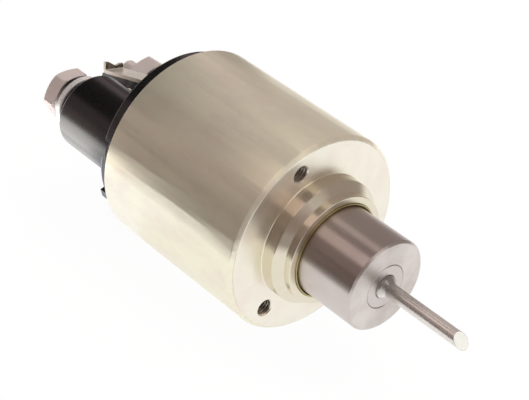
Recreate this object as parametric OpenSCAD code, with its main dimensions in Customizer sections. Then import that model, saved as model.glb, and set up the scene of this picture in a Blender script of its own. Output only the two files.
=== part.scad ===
// Starter solenoid: a plated case with a plunger and pull rod in front and a terminal cap behind.
// The origin is the centre of the mounting face. +X runs along the axis towards the pull rod, +Z is up.

/* [Case] */
// Outer diameter of the case
case_d = 55; // [54:0.5:62]
// Length of the case behind the mounting face
case_len = 50.8; // [48:0.2:58]
// Wall of the case round the coil
case_wall = 2; // [1.6:0.1:2.6]
// Thickness of the front end that holds the tapped holes
front_wall = 10; // [8.5:0.5:12]
// Chamfer round the mounting face
face_chamfer = 1; // [0.4:0.1:1.6]
// Length of the lip that is rolled in behind the cap's shoulder
lip_len = 0.8; // [0.5:0.1:1.2]

/* [Spigot] */
// Diameter of the locating land on the mounting face
spigot_d = 34.8; // [33:0.2:36.4]
// Length of the locating land
spigot_len = 3.7; // [2.5:0.1:5]
// Length of the cone that leads from the land to the nose
cone_len = 2; // [1:0.1:3]
// Diameter of the nose
nose_d = 30.4; // [29:0.2:32]
// Length of the nose in front of the cone
nose_len = 2.1; // [1:0.1:4]

/* [Tapped holes] */
// Diameter of the circle that the holes are on
bolt_pcd = 44; // [41:0.5:47]
// Number of holes
bolt_count = 3; // [2:1:6]
// Core diameter of the thread
bolt_core_d = 4.2; // [3.3:0.1:5]
// Depth of the holes
bolt_depth = 8; // [5:0.5:8]
// Chamfer at the mouth of each hole
bolt_chamfer = 0.4; // [0.1:0.05:0.6]

/* [Plunger] */
// Diameter of the plunger
plunger_d = 25; // [23:0.25:26]
// Distance of the plunger's face in front of the mounting face, at rest
plunger_out = 25.5; // [22:0.5:30]
// Chamfer round the plunger's face
plunger_chamfer = 0.6; // [0.3:0.1:1]
// Stroke of the plunger
stroke = 10; // [8:0.5:12]
// Wall of the guide tube
tube_wall = 0.7; // [0.4:0.1:1]
// Distance that the guide tube stands out of the nose
tube_proud = 0.3; // [0:0.1:1]
// Diameter of the bush in the plunger's face
bush_d = 12; // [11:0.2:14]
// Length of the bush
bush_len = 6.5; // [4:0.5:9]
// Chamfer on both sides of the seam round the bush
seam_chamfer = 0.25; // [0.1:0.05:0.4]
// Depth of the well for the return spring
well_depth = 12; // [10:0.5:14]
// Diameter of that well
well_d = 17.6; // [16.8:0.2:19]
// Web between the well and the bore in front of it
web = 4.7; // [3:0.1:6]

/* [Pull rod] */
// Diameter of the rod
rod_d = 3.8; // [3:0.1:5]
// Distance from the plunger's face to the middle of the rod's tip
rod_out = 25; // [18:0.2:32]
// Angle of the slanted tip away from square
tip_angle = 39; // [0:1:50]
// Turn of the slant about the rod, away from straight down
tip_turn = 26; // [-40:1:40]
// Diameter of the collar that slides in the bush
collar_d = 6.2; // [5.6:0.1:7]
// Distance that the collar stands out of the plunger's face
collar_out = 1.7; // [0.8:0.1:3]
// Thickness of the head that holds the rod in the plunger
head_t = 2; // [1.5:0.1:3]

/* [Core and coil] */
// Thickness of the core plate
plate_t = 3.5; // [3:0.1:5]
// Length of the core's stem in the guide tube
stem_len = 8.5; // [7:0.5:10]
// Diameter of the core's tail in the plate
tail_d = 17; // [16:0.5:19]
// Wall of the bobbin's barrel
bobbin_wall = 1.1; // [0.8:0.1:1.5]
// Thickness of the bobbin's flanges
bobbin_flange = 1.5; // [1:0.1:2]
// Share of the room for wire that the pull-in winding takes
pull_in_share = 0.52; // [0.4:0.02:0.6]
// Room between the hold-in winding and the case
winding_gap = 2.3; // [1:0.1:3]
// Diameter of the coil's lead wires
lead_d = 1.2; // [0.8:0.1:1.4]

/* [Cap] */
// Step from the cap's skirt down to the part that shows behind the case
cap_shoulder = 0.4; // [0.2:0.05:0.8]
// Distance that the cap's flange stands out behind the case
cap_out = 5.1; // [4:0.1:8]
// Depth from the case's rear edge to the core plate
cap_engage = 3.8; // [3:0.1:6]
// Radius round the cap's rear edge
cap_round = 0.8; // [0.3:0.1:1.5]
// Side wall of the cap
cap_side = 2.9; // [2:0.1:3.4]
// Thickness of the gasket
seal_t = 0.8; // [0.5:0.1:1.4]
// Diameter of each terminal tower
tower_d = 21.4; // [19:0.2:21.6]
// Length of each tower behind the cap's flange
tower_len = 19.1; // [16:0.1:24]
// Radius round the end of each tower
tower_round = 1; // [0.3:0.1:2]
// Diameter of the seat on each tower
seat_d = 14.8; // [13:0.2:16]
// Length of the seat
seat_len = 3.3; // [1:0.1:4]
// Wall of the pocket behind the contact bridge
pocket_wall = 1.8; // [1.2:0.1:2.4]
// Depth of that pocket behind the cap's end wall
pocket_depth = 13; // [11:0.5:16]
// Thickness of the wall between the two terminals
barrier_t = 3; // [2:0.1:5]

/* [Terminals] */
// Distance of each stud from the cap's rim
stud_edge = 10.55; // [10:0.05:11.2]
// Diameter of the studs
stud_d = 8; // [6:0.5:8]
// Side of the square stud heads
head_side = 12.6; // [11:0.2:13]
// Thickness of the stud heads
stud_head_t = 3; // [2:0.1:4]
// Width across flats of the nuts
nut_af = 13; // [11:0.5:14]
// Height of the motor nut
motor_nut_h = 4.8; // [4:0.1:7]
// Height of the battery nut
battery_nut_h = 6; // [4:0.1:7]
// Turn of the motor nut about its stud
motor_nut_turn = 11; // [0:1:60]
// Turn of the battery nut about its stud
battery_nut_turn = 32; // [0:1:60]
// Distance that the motor stud stands out of its nut
motor_stud_past = 0.4; // [0:0.1:6]
// Distance that the battery stud's thread stands out of its nut
battery_stud_past = 3.2; // [1:0.1:8]
// Diameter of the battery stud's plain point
point_d = 5.2; // [3:0.1:5.6]
// Length of that point
point_len = 4.3; // [1:0.1:6]
// Diameter of the flat washers
washer_d = 15.8; // [14.4:0.2:17]
// Thickness of the flat washers
washer_t = 1.6; // [1:0.1:2]
// Diameter of the spring washers
spring_washer_d = 14; // [12:0.2:15]
// Thickness of the spring washers
spring_washer_t = 2.3; // [1.6:0.1:3]

/* [Blade terminal] */
// Width of the blade
blade_w = 6.3; // [5:0.1:8]
// Thickness of the blade
blade_t = 1; // [0.8:0.1:1.2]
// Distance of the blade's end behind the cap's flange
blade_reach = 30.1; // [26:0.1:34]
// Height of the blade's end above the axis
blade_end_z = 5.9; // [5.4:0.1:6.8]
// Rise of the blade towards the cap, in degrees
blade_rise = 15; // [14:0.5:16]
// Height of the lip that is turned up at the blade's end
blade_lip_h = 2.6; // [1.5:0.1:4]
// Distance that the blade reaches in front of the stud heads inside the cap
blade_inside = 1.6; // [1:0.1:2.4]
// Thickness of the tongue under the blade
tongue_t = 2.3; // [1.6:0.1:3]
// Diameter of the rivet through the blade
rivet_d = 3; // [2:0.1:4]

/* [Contacts] */
// Diameter of the push rod
push_rod_d = 5; // [4:0.1:5.4]
// Travel of the push rod
push_travel = 4; // [3.5:0.1:5]
// Travel of the contact bridge
bridge_travel = 3; // [2.5:0.1:3.4]
// Gap between the core plate and the bridge, at rest
bridge_gap = 1.6; // [1.3:0.1:2]
// Thickness of the bridge
bridge_t = 2; // [1.5:0.1:3]
// Width of the bridge
bridge_w = 9; // [7:0.2:9.2]
// Distance that the bridge reaches past the middle of each stud head
bridge_past = 5.5; // [3:0.1:5.8]
// Thickness of the bridge's insulators
insulator_t = 1; // [0.8:0.1:1.2]
// Diameter of the bridge's insulators
insulator_d = 10.4; // [9:0.2:11]
// Diameter of the spring seat on the push rod
spring_seat_d = 9.2; // [8.6:0.1:10]
// Thickness of the clip on the push rod
clip_t = 0.8; // [0.5:0.1:1]
// Length of the push rod behind its clip
push_tail = 5.6; // [4:0.1:7]
// Depth of the spring seat's recess in the core, in front of the plate
recess = 1.9; // [1.4:0.1:3]
// Thickness of the spring seat
spring_seat_t = 1; // [0.8:0.1:1.2]
// Wall of the sleeve that keeps the bridge off the push rod
sleeve_wall = 0.8; // [0.6:0.1:1.2]

/* [Hidden] */
$fn = 96;

// Clearances
slide_clear = 0.05;
fit_clear = 0.05;
free_clear = 0.1;
end_gap = 0.3;
cut = 1;

// Radii
case_r = case_d / 2;
case_bore_r = case_r - case_wall;
spigot_r = spigot_d / 2;
nose_r = nose_d / 2;
nose_chamfer = 0.3;
plunger_r = plunger_d / 2;
tube_in_r = plunger_r + slide_clear;
tube_out_r = tube_in_r + tube_wall;
bush_r = bush_d / 2;
well_r = well_d / 2;
rod_r = rod_d / 2;
collar_r = collar_d / 2;
rod_tail_r = rod_r + end_gap;
rod_head_r = bush_r - end_gap;
tail_r = tail_d / 2;
push_rod_r = push_rod_d / 2;
spring_seat_r = spring_seat_d / 2;
insulator_r = insulator_d / 2;
counterbore_r = max(spring_seat_r, insulator_r) + end_gap;
sleeve_r = push_rod_r + slide_clear + sleeve_wall;
clip_r = insulator_r - sleeve_wall;
pocket_r = insulator_r + 3 * end_gap;
boss_r = pocket_r + pocket_wall;
skirt_r = case_bore_r - fit_clear;
neck_r = skirt_r - cap_shoulder;
lip_r = neck_r + fit_clear;
cavity_r = neck_r - cap_side;
stud_offset = neck_r - stud_edge;
tower_r = tower_d / 2;
stud_r = stud_d / 2;
point_r = point_d / 2;
seat_r = seat_d / 2;
lead_r = lead_d / 2;

// Places along the axis, from the front to the back
nose_x = spigot_len + cone_len + nose_len;
tube_front_x = nose_x + tube_proud;
tip_x = plunger_out + rod_out;
collar_x = plunger_out + collar_out;
bush_rear_x = plunger_out - bush_len;
plate_rear_x = -(case_len - cap_engage);
plate_front_x = plate_rear_x + plate_t;
core_face_x = plate_front_x + stem_len;
plunger_rear_x = core_face_x + stroke + end_gap;
well_x = plunger_rear_x + well_depth;
bore_end_x = well_x + web;
head_rear_x = bore_end_x + free_clear;
head_front_x = head_rear_x + head_t;
push_front_x = well_x - (stroke - push_travel) - free_clear;
seat_floor_x = plate_front_x + recess;
spring_seat_x = seat_floor_x - free_clear - spring_seat_t;
bridge_front_x = plate_rear_x - bridge_gap;
bridge_rear_x = bridge_front_x - bridge_t;
clip_front_x = bridge_rear_x - insulator_t - fit_clear;
clip_rear_x = clip_front_x - clip_t;
push_rear_x = clip_rear_x - push_tail;
contact_x = bridge_rear_x - bridge_travel - fit_clear;
head_back_x = contact_x - stud_head_t;
cap_front_x = plate_rear_x - seal_t;
shoulder_x = -case_len + lip_len;
cap_rear_x = -case_len - cap_out;
cavity_x = contact_x - end_gap;
pocket_x = cavity_x - pocket_depth;
tower_x = cap_rear_x - tower_len;
bobbin_front_x = -front_wall - free_clear;
bobbin_rear_x = plate_front_x + free_clear;
wind_front_x = bobbin_front_x - bobbin_flange - fit_clear;
wind_rear_x = bobbin_rear_x + bobbin_flange + fit_clear;

// Radii of the coil, from the tube outwards
bobbin_in_r = tube_out_r + fit_clear;
bobbin_out_r = bobbin_in_r + bobbin_wall;
pull_in_r = bobbin_out_r + fit_clear;
hold_out_r = case_bore_r - winding_gap;
pull_out_r = pull_in_r + (hold_out_r - pull_in_r) * pull_in_share;
hold_in_r = pull_out_r + fit_clear;
flange_r = case_bore_r - end_gap;

// Places along each stud, from its seat on the tower to its ends
seat_x = tower_x - seat_len;
washer_x = seat_x - washer_t;
nut_x = washer_x - spring_washer_t;
motor_end_x = nut_x - motor_nut_h - motor_stud_past;
battery_end_x = nut_x - battery_nut_h - battery_stud_past;

// Blade and its tongue, measured along the blade from its rear end
blade_end_x = cap_rear_x - blade_reach;
blade_inner_x = contact_x + blade_inside;
blade_len = (blade_inner_x - blade_end_x) / cos(blade_rise);
rivet_at = blade_len * 0.62;
rivet_head_r = rivet_d * 0.9;
rivet_head_t = 0.9;
notch_y = blade_w * 0.16;

// Locating lug on the cap's rim, behind the case
lug_turn = 208;
lug_r = case_r - 2 * end_gap;
lug_w = 2.4;
lug_len = cap_out * 0.55;

// Leads: one lies on the blade's inner end, the other runs beside the bridge
switch_lead_z = blade_end_z + (blade_inner_x - blade_end_x) * tan(blade_rise) + lead_r + fit_clear;
motor_lead_y = lead_d - head_side / 2;
motor_lead_z = bridge_w / 2 + end_gap + lead_r;

// A straight round bar along the axis, from x0 back to x1
module bar(x0, x1, r) {
    translate([min(x0, x1), 0, 0]) rotate([0, 90, 0]) cylinder(h = abs(x0 - x1), r = r);
}

// A plain ring along the axis
module ring(x0, x1, r_out, r_in) {
    difference() {
        bar(x0, x1, r_out);
        bar(max(x0, x1) + cut, min(x0, x1) - cut, r_in);
    }
}

// A turned shape: points give [radius, place along the axis]
module turned(points) {
    rotate([0, 90, 0]) rotate_extrude() polygon(points);
}

// Moves its children to the motor stud (side -1) or to the battery stud (side 1)
module at_stud(side) {
    translate([0, side * stud_offset, 0]) children();
}

// The blade's own frame: its rear end at the origin, X along it, its top face at Z = 0
module on_blade() {
    translate([blade_end_x, 0, blade_end_z]) rotate([0, -blade_rise, 0]) children();
}

// A coil spring between two places on the axis, with a closed turn at each end
module coil(x0, x1, mean_r, wire_d, turns) {
    sides = 6;
    steps = 14;
    closed = 1.1 * wire_d;
    rings = round((turns + 2) * steps);
    low = min(x0, x1) + wire_d / 2;
    high = max(x0, x1) - wire_d / 2;
    pitch = (high - low - 2 * closed) / turns;
    // Place along the axis after some number of turns
    function rise(t) = t < 1 ? t * closed
        : t < turns + 1 ? closed + (t - 1) * pitch
        : closed + turns * pitch + (t - turns - 1) * closed;
    points = [
        for (i = [0:rings]) let (t = i / steps, a = 360 * t)
            for (j = [0:sides - 1]) let (b = 360 * j / sides, r = mean_r + wire_d / 2 * cos(b))
                [low + rise(t) + wire_d / 2 * sin(b), r * cos(a), r * sin(a)]
    ];
    walls = [
        for (i = [0:rings - 1], j = [0:sides - 1]) let (k = (j + 1) % sides)
            [i * sides + j, i * sides + k, (i + 1) * sides + k, (i + 1) * sides + j]
    ];
    first = [for (j = [sides - 1:-1:0]) j];
    last = [for (j = [0:sides - 1]) rings * sides + j];
    polyhedron(points, concat([first, last], walls));
}

module case() {
    color("tan") difference() {
        turned([
            [tube_out_r + fit_clear, nose_x],
            [nose_r - nose_chamfer, nose_x],
            [nose_r, nose_x - nose_chamfer],
            [nose_r, spigot_len + cone_len],
            [spigot_r, spigot_len],
            [spigot_r, 0],
            [case_r - face_chamfer, 0],
            [case_r, -face_chamfer],
            [case_r, -case_len],
            [lip_r, -case_len],
            [lip_r, shoulder_x],
            [case_bore_r, shoulder_x],
            [case_bore_r, -front_wall],
            [tube_out_r + fit_clear, -front_wall]
        ]);
        for (i = [0:bolt_count - 1]) rotate([360 / bolt_count * i, 0, 0]) translate([0, bolt_pcd / 2, 0]) {
            bar(cut, -bolt_depth, bolt_core_d / 2);
            turned([
                [0, -bolt_chamfer],
                [bolt_core_d / 2, -bolt_chamfer],
                [bolt_core_d / 2 + bolt_chamfer, 0],
                [bolt_core_d / 2 + bolt_chamfer, cut],
                [0, cut]
            ]);
        }
    }
}

module guide_tube() {
    color("gold") ring(tube_front_x, plate_front_x, tube_out_r, tube_in_r);
}

module bobbin() {
    color("ivory") difference() {
        turned([
            [bobbin_in_r, bobbin_front_x],
            [flange_r, bobbin_front_x],
            [flange_r, bobbin_front_x - bobbin_flange],
            [bobbin_out_r, bobbin_front_x - bobbin_flange],
            [bobbin_out_r, bobbin_rear_x + bobbin_flange],
            [flange_r, bobbin_rear_x + bobbin_flange],
            [flange_r, bobbin_rear_x],
            [bobbin_in_r, bobbin_rear_x]
        ]);
        lead_holes(bobbin_rear_x + bobbin_flange + cut, bobbin_rear_x - cut);
    }
}

// Holes that let the two leads through
module lead_holes(x0, x1) {
    translate([0, 0, switch_lead_z]) bar(x0, x1, lead_r + free_clear);
    at_stud(-1) translate([0, motor_lead_y, motor_lead_z]) bar(x0, x1, lead_r + free_clear);
}

module pull_in_winding() {
    color("peru") ring(wind_front_x, wind_rear_x, pull_out_r, pull_in_r);
}

module hold_in_winding() {
    color("chocolate") ring(wind_front_x, wind_rear_x, hold_out_r, hold_in_r);
}

module switch_lead() {
    color("peru") translate([0, 0, switch_lead_z]) bar(wind_rear_x, cavity_x + fit_clear, lead_r);
}

module motor_lead() {
    color("chocolate") at_stud(-1) translate([0, motor_lead_y, motor_lead_z])
        bar(wind_rear_x, contact_x, lead_r);
}

module fixed_core() {
    color("gray") turned([
        [push_rod_r + slide_clear, core_face_x],
        [tube_in_r - slide_clear - face_chamfer, core_face_x],
        [tube_in_r - slide_clear, core_face_x - face_chamfer],
        [tube_in_r - slide_clear, plate_front_x],
        [tail_r, plate_front_x],
        [tail_r, plate_rear_x],
        [counterbore_r, plate_rear_x],
        [counterbore_r, seat_floor_x],
        [push_rod_r + slide_clear, seat_floor_x]
    ]);
}

module core_plate() {
    color("dimgray") difference() {
        ring(plate_front_x, plate_rear_x, case_bore_r - fit_clear, tail_r + fit_clear);
        lead_holes(plate_front_x + cut, plate_rear_x - cut);
    }
}

module cap_seal() {
    color("black") ring(plate_rear_x, cap_front_x, skirt_r, cavity_r);
}

// One tower with its seat, rounded at the end
module tower() {
    turned([
        [0, cavity_x],
        [tower_r, cavity_x],
        for (a = [0:15:90]) [
            tower_r - tower_round * (1 - cos(a)),
            tower_x + tower_round * (1 - sin(a))
        ],
        [seat_r, tower_x],
        [seat_r, seat_x],
        [0, seat_x]
    ]);
}

// The flat tongue that carries the blade, and the wall under it between the terminals
module tongue() {
    intersection() {
        translate([blade_end_x, -case_r, -case_r]) cube([cavity_x - blade_end_x, case_d, case_d]);
        on_blade() translate([-blade_len, -blade_w / 2, -blade_t - tongue_t])
            cube([3 * blade_len, blade_w, tongue_t]);
    }
}

module barrier() {
    difference() {
        translate([tower_x, -barrier_t / 2, -tower_r]) cube([cap_rear_x - tower_x, barrier_t, tower_r + neck_r]);
        on_blade() translate([-blade_len, -blade_w, -blade_t - tongue_t / 2])
            cube([3 * blade_len, 2 * blade_w, 2 * case_r]);
    }
}

// Room inside the cap for the bridge, the stud heads, the push rod and the blade
module cap_inside() {
    bar(cap_front_x + cut, cavity_x, cavity_r);
    bar(cavity_x + cut, pocket_x, pocket_r);
    for (side = [-1, 1]) at_stud(side) {
        translate([head_back_x, -head_side / 2 - fit_clear, -head_side / 2 - fit_clear])
            cube([cavity_x - head_back_x + cut, head_side + 2 * fit_clear, head_side + 2 * fit_clear]);
        bar(cavity_x, seat_x - cut, stud_r + fit_clear);
    }
    on_blade() {
        translate([0, -blade_w / 2 - fit_clear, -blade_t])
            cube([blade_len + cut, blade_w + 2 * fit_clear, blade_t + fit_clear]);
        translate([rivet_at, 0, -2 * tongue_t]) cylinder(h = 3 * tongue_t, r = rivet_d / 2 + fit_clear);
    }
}

module cap() {
    color([0.08, 0.08, 0.08]) difference() {
        union() {
            turned([
                [0, cap_front_x],
                [skirt_r, cap_front_x],
                [skirt_r, shoulder_x],
                [neck_r, shoulder_x],
                for (a = [0:15:90]) [
                    neck_r - cap_round * (1 - cos(a)),
                    cap_rear_x + cap_round * (1 - sin(a))
                ],
                [0, cap_rear_x]
            ]);
            for (side = [-1, 1]) at_stud(side) tower();
            bar(cavity_x, pocket_x - pocket_wall, boss_r);
            tongue();
            barrier();
            rotate([lug_turn, 0, 0]) translate([-case_len - end_gap - lug_len, cavity_r + cut, -lug_w / 2])
                cube([lug_len, lug_r - cavity_r - cut, lug_w]);
        }
        cap_inside();
    }
}

// A stud with a square head and a chamfered end
module stud(end_x) {
    chamfer = stud_r * 0.15;
    translate([head_back_x, -head_side / 2, -head_side / 2]) cube([stud_head_t, head_side, head_side]);
    turned([
        [0, head_back_x + stud_head_t / 2],
        [stud_r, head_back_x + stud_head_t / 2],
        [stud_r, end_x + chamfer],
        [stud_r - chamfer, end_x],
        [0, end_x]
    ]);
}

module motor_stud() {
    color("silver") at_stud(-1) stud(motor_end_x);
}

// This stud ends in a plain point with a rounded edge
module battery_stud() {
    edge = point_r * 0.3;
    color("silver") at_stud(1) {
        stud(battery_end_x);
        turned([
            [0, battery_end_x + cut],
            [point_r, battery_end_x + cut],
            for (a = [0:30:90]) [
                point_r - edge * (1 - cos(a)),
                battery_end_x - point_len + edge * (1 - sin(a))
            ],
            [0, battery_end_x - point_len]
        ]);
    }
}

module washer(side) {
    at_stud(side) ring(seat_x, washer_x, washer_d / 2, stud_r + fit_clear);
}

module motor_washer() {
    color("silver") washer(-1);
}

module battery_washer() {
    color("silver") washer(1);
}

// A split washer
module spring_washer(side) {
    slit = spring_washer_t * 0.35;
    at_stud(side) difference() {
        ring(washer_x, nut_x, spring_washer_d / 2, stud_r + fit_clear);
        translate([nut_x - cut, -slit / 2, -spring_washer_d])
            cube([spring_washer_t + 2 * cut, slit, spring_washer_d]);
    }
}

module motor_spring_washer() {
    color("silver") spring_washer(-1);
}

module battery_spring_washer() {
    color("silver") spring_washer(1);
}

// A hexagon nut with both ends turned down at the corners
module nut(side, height, turn) {
    front = nut_x;
    back = front - height;
    corner_r = nut_af / 2 / cos(30);
    bevel = (corner_r - nut_af / 2) * 0.6;
    at_stud(side) difference() {
        intersection() {
            translate([back, 0, 0]) rotate([turn, 0, 0]) rotate([0, 90, 0]) rotate([0, 0, 90])
                cylinder(h = front - back, r = corner_r, $fn = 6);
            turned([
                [0, front],
                [nut_af / 2, front],
                [corner_r + fit_clear, front - bevel],
                [corner_r + fit_clear, back + bevel],
                [nut_af / 2, back],
                [0, back]
            ]);
        }
        bar(front + cut, back - cut, stud_r + fit_clear);
    }
}

module motor_nut() {
    color("silver") nut(-1, motor_nut_h, motor_nut_turn);
}

module battery_nut() {
    color("silver") nut(1, battery_nut_h, battery_nut_turn);
}

// A strip with a lip turned up at its rear end, notched between a tall prong and a short one
module blade_terminal() {
    prong = blade_t;
    color("wheat") on_blade() difference() {
        union() {
            translate([0, -blade_w / 2, -blade_t]) cube([blade_len, blade_w, blade_t]);
            rotate([90, 0, 90]) linear_extrude(blade_t) polygon([
                [-blade_w / 2, -blade_t],
                [blade_w / 2, -blade_t],
                [blade_w / 2, blade_lip_h * 0.55],
                [blade_w / 2 - prong, blade_lip_h * 0.55],
                [notch_y, 0],
                [prong - blade_w / 2, blade_lip_h],
                [-blade_w / 2, blade_lip_h]
            ]);
        }
        translate([rivet_at, 0, -2 * blade_t]) cylinder(h = 3 * blade_t, r = rivet_d / 2 + fit_clear);
    }
}

module blade_rivet() {
    color("silver") on_blade() translate([rivet_at, 0, 0]) {
        translate([0, 0, -blade_t - tongue_t]) cylinder(h = blade_t + tongue_t, r = rivet_d / 2);
        cylinder(h = rivet_head_t, r1 = rivet_head_r, r2 = rivet_head_r * 0.6);
    }
}

module return_spring() {
    wire = 1.4;
    color("gainsboro") coil(well_x, core_face_x, well_r - wire / 2 - 2 * end_gap, wire, 6);
}

module contact_return_spring() {
    wire = 0.7;
    color("gainsboro") coil(clip_rear_x, pocket_x, clip_r - wire, wire, 6);
}

module plunger() {
    color("rosybrown") turned([
        [bush_r, plunger_out - seam_chamfer],
        [bush_r + seam_chamfer, plunger_out],
        [plunger_r - plunger_chamfer, plunger_out],
        [plunger_r, plunger_out - plunger_chamfer],
        [plunger_r, plunger_rear_x + face_chamfer],
        [plunger_r - face_chamfer, plunger_rear_x],
        [well_r, plunger_rear_x],
        [well_r, well_x],
        [0, well_x],
        [0, bore_end_x],
        [bush_r, bore_end_x]
    ]);
}

module plunger_bush() {
    color("lightgray") turned([
        [collar_r + slide_clear, plunger_out - seam_chamfer],
        [collar_r + slide_clear + seam_chamfer, plunger_out],
        [bush_r - seam_chamfer - fit_clear, plunger_out],
        [bush_r - fit_clear, plunger_out - seam_chamfer],
        [bush_r - fit_clear, bush_rear_x],
        [collar_r + slide_clear, bush_rear_x]
    ]);
}

module mesh_spring() {
    wire = 1.2;
    color("gainsboro") coil(bush_rear_x, head_front_x, (collar_r + bush_r) / 2, wire, 8);
}

module pull_rod() {
    slant = rod_r * tan(tip_angle);
    color("silver") difference() {
        turned([
            [0, tip_x + slant],
            [rod_r, tip_x + slant],
            [rod_r, collar_x + end_gap],
            [rod_r + end_gap, collar_x],
            [collar_r - end_gap, collar_x],
            [collar_r, collar_x - end_gap],
            [collar_r, head_front_x],
            [rod_tail_r, head_front_x],
            [rod_tail_r, head_rear_x],
            [0, head_rear_x]
        ]);
        translate([tip_x, 0, 0]) rotate([tip_turn, 0, 0]) rotate([0, -tip_angle, 0])
            translate([0, -collar_d, -2 * rod_d]) cube([4 * rod_d, 2 * collar_d, 4 * rod_d]);
    }
}

module rod_head() {
    color("gray") ring(head_front_x, head_rear_x, rod_head_r, rod_tail_r + fit_clear);
}

module push_rod() {
    chamfer = 0.5;
    color("silver") turned([
        [0, push_front_x],
        [push_rod_r - chamfer, push_front_x],
        [push_rod_r, push_front_x - chamfer],
        [push_rod_r, spring_seat_x + spring_seat_t],
        [spring_seat_r, spring_seat_x + spring_seat_t],
        [spring_seat_r, spring_seat_x],
        [push_rod_r, spring_seat_x],
        [push_rod_r, push_rear_x + chamfer],
        [push_rod_r - chamfer, push_rear_x],
        [0, push_rear_x]
    ]);
}

module shaft_clip() {
    color("gray") ring(clip_front_x, clip_rear_x, clip_r, push_rod_r + fit_clear);
}

module contact_spring() {
    wire = 0.9;
    color("gainsboro") coil(spring_seat_x, bridge_front_x + insulator_t, spring_seat_r - wire, wire, 2);
}

module contact_bridge() {
    half = stud_offset + bridge_past;
    color("orangered") difference() {
        translate([bridge_rear_x, -half, -bridge_w / 2]) cube([bridge_t, 2 * half, bridge_w]);
        bar(bridge_front_x + cut, bridge_rear_x - cut, sleeve_r + fit_clear);
    }
}

module bridge_bush() {
    color("saddlebrown") turned([
        [push_rod_r + slide_clear, bridge_front_x + insulator_t],
        [insulator_r, bridge_front_x + insulator_t],
        [insulator_r, bridge_front_x],
        [sleeve_r, bridge_front_x],
        [sleeve_r, bridge_rear_x],
        [push_rod_r + slide_clear, bridge_rear_x]
    ]);
}

module bridge_washer() {
    color("saddlebrown") ring(bridge_rear_x, bridge_rear_x - insulator_t, insulator_r, push_rod_r + slide_clear);
}

case();
guide_tube();
bobbin();
pull_in_winding();
hold_in_winding();
switch_lead();
motor_lead();
fixed_core();
core_plate();
cap_seal();
cap();
motor_stud();
battery_stud();
motor_washer();
battery_washer();
motor_spring_washer();
battery_spring_washer();
motor_nut();
battery_nut();
blade_terminal();
blade_rivet();
return_spring();
contact_return_spring();
plunger();
plunger_bush();
mesh_spring();
pull_rod();
rod_head();
push_rod();
shaft_clip();
contact_spring();
contact_bridge();
bridge_bush();
bridge_washer();
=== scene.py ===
import logging
import math
from collections.abc import Iterable
from dataclasses import dataclass, field
from enum import Enum

import bmesh
import bpy
import numpy as np
from mathutils import Matrix, Vector


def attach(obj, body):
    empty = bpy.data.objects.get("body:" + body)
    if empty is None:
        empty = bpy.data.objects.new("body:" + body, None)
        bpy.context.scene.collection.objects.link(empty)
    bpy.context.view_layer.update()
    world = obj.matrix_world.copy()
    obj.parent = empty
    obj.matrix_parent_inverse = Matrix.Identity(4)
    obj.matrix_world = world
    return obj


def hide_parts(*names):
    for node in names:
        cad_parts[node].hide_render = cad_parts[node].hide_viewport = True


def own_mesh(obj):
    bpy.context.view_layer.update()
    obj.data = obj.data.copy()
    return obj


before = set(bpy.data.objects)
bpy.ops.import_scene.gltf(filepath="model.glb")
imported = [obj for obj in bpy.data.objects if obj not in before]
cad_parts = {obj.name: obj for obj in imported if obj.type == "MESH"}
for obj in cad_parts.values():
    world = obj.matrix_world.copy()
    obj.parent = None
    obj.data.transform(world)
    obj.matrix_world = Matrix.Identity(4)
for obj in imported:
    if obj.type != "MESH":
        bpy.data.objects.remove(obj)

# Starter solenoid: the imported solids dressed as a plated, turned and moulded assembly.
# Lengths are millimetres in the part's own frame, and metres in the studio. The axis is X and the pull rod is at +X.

log = logging.getLogger("starter_solenoid")
MM = 0.001
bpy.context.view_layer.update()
TURN = 2 * np.pi
TINY = 1e-9  # keeps a length of 0 from being divided by
WELD, SPECK = 2e-6, 1e-7  # metres: points nearer than the first are one, edges shorter than the second go
CREASE = math.radians(32.0)  # edges sharper than this stay sharp
THREAD_FLAT = 0.15  # share of half a pitch that is flat at a thread's crest, and again at its root

Pair = tuple[float, float]
Triple = tuple[float, float, float]
Colour = Triple
Socket = bpy.types.NodeSocket


def soft_profile(*corners: Triple, steps: int = 6, loop: bool = False) -> np.ndarray:
    """Round the corners of a profile.

    A corner P becomes (1-s)^2 (P + u t) + 2 s (1-s) P + s^2 (P + v t), where u and v point to the
    corners before and after it and t is the reach of its rounding.

    Args:
        corners: each corner's radius, place along the axis and reach of the rounding.
        steps: points on each rounded corner.
        loop: whether the last corner joins the first.

    Returns:
        Rows of radius and place, as one array.
    """
    rows = np.array(corners, float)
    point, reach = rows[:, :2], rows[:, 2:]
    before, after = np.roll(point, 1, axis=0), np.roll(point, -1, axis=0)
    if not loop:
        before[0], after[-1] = point[0], point[-1]

    def towards(other: np.ndarray) -> np.ndarray:
        """Unit vectors from each corner to another point."""
        step = other - point
        return step / np.maximum(np.linalg.norm(step, axis=1, keepdims=True), TINY)

    s = np.linspace(0, 1, steps)[None, :, None]
    start = (point + towards(before) * reach)[:, None]
    end = (point + towards(after) * reach)[:, None]
    curve = ((1 - s) ** 2 * start + 2 * s * (1 - s) * point[:, None] + s**2 * end).reshape(-1, 2)
    return np.concatenate([curve, curve[:1]]) if loop else curve


def spread(*parts: object) -> np.ndarray:
    """Points whose coordinates are arrays that spread over one another."""
    return np.stack(np.broadcast_arrays(*parts), -1)


def circle(sides: int) -> np.ndarray:
    """Angles of equal steps round a circle."""
    return np.linspace(0, TURN, sides, endpoint=False)


def round_axis(radius: np.ndarray, place: np.ndarray, angle: np.ndarray, centre: Pair = (0.0, 0.0)) -> np.ndarray:
    """Points (x, y0 + r cos a, z0 + r sin a) for arrays that spread over one another."""
    return spread(place, centre[0] + radius * np.cos(angle), centre[1] + radius * np.sin(angle))


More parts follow.
